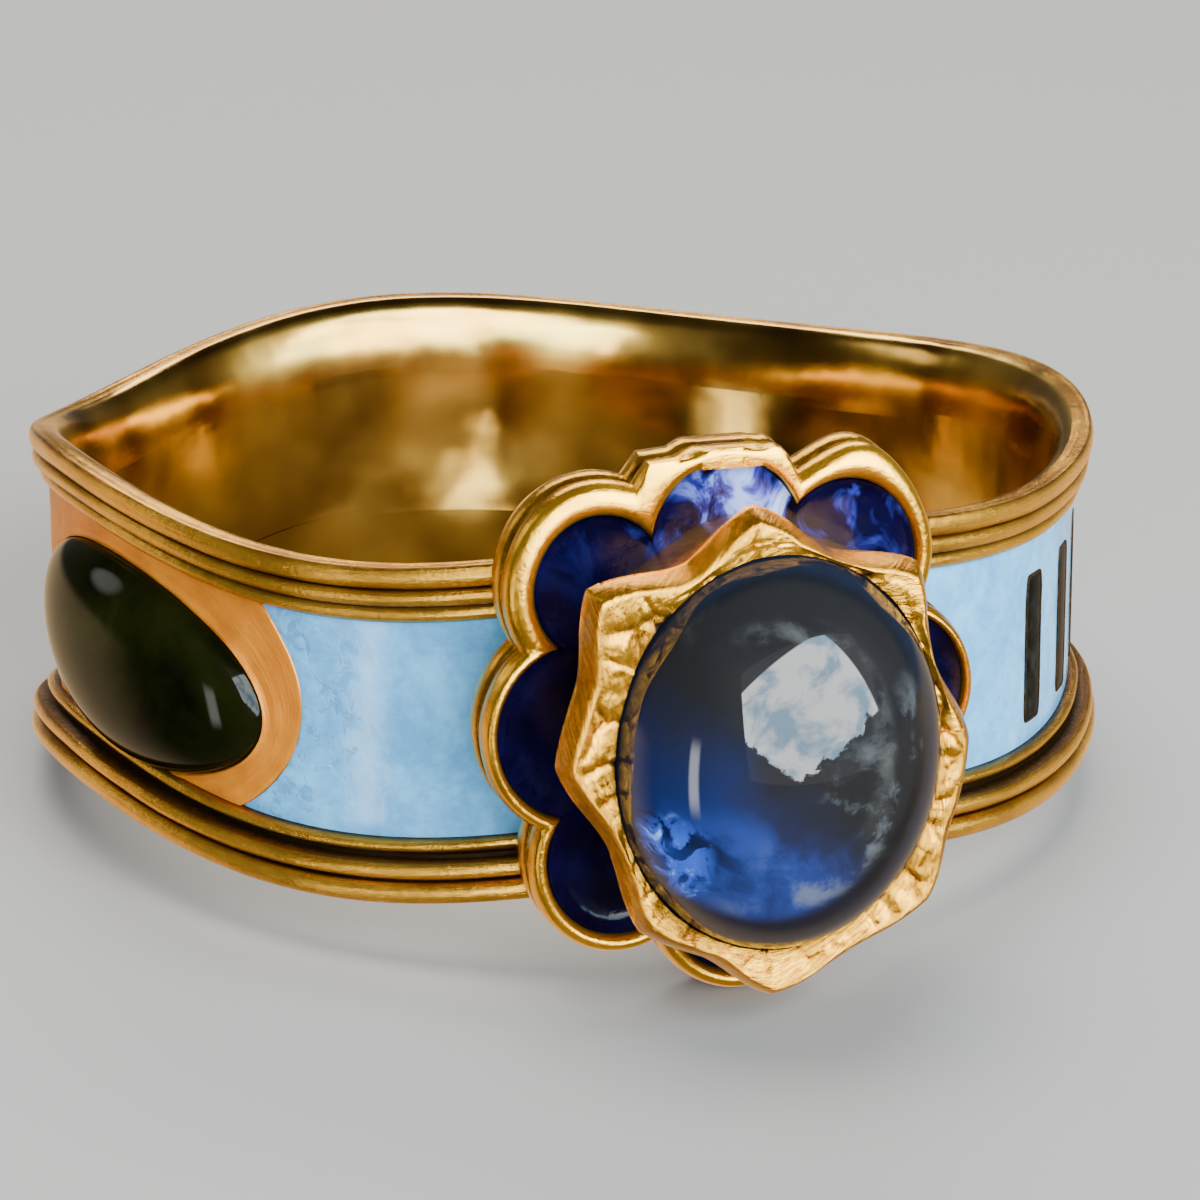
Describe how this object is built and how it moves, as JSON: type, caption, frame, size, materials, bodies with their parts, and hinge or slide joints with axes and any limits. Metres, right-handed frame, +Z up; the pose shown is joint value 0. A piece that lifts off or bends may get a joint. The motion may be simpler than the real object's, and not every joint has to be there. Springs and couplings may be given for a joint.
{
  "type": "mourning ring",
  "caption": "Finger ring: a wavy gold band with reeded rims and pale blue enamel, a green oval cabochon, and a lobed enamel head with a toothed collar round a domed blue stone.",
  "frame": {"origin": "on the surface that the ring lies on, under the middle of its bounding box", "axes": "+Z up; -Y is the side with the head and its stone, so +Y is the back of the band; +X is to the right seen from the head"},
  "size_m": [0.0206, 0.0254, 0.0096],
  "materials": {
    "gold": "polished and worn",
    "pale_blue_enamel": "glossy",
    "black_enamel": "glossy",
    "green_stone": "polished",
    "dark_blue_enamel": "glossy",
    "sapphire": "polished"
  },
  "bodies": {
    "root": {"band": "gold", "enamel_left": "pale_blue_enamel", "enamel_right": "pale_blue_enamel", "enamel_bar_1": "black_enamel", "enamel_bar_2": "black_enamel", "enamel_bar_3": "black_enamel", "enamel_bar_4": "black_enamel", "enamel_bar_5": "black_enamel", "green_cabochon": "green_stone", "petal_enamel": "dark_blue_enamel", "sapphire": "sapphire"}
  },
  "joints": []
}
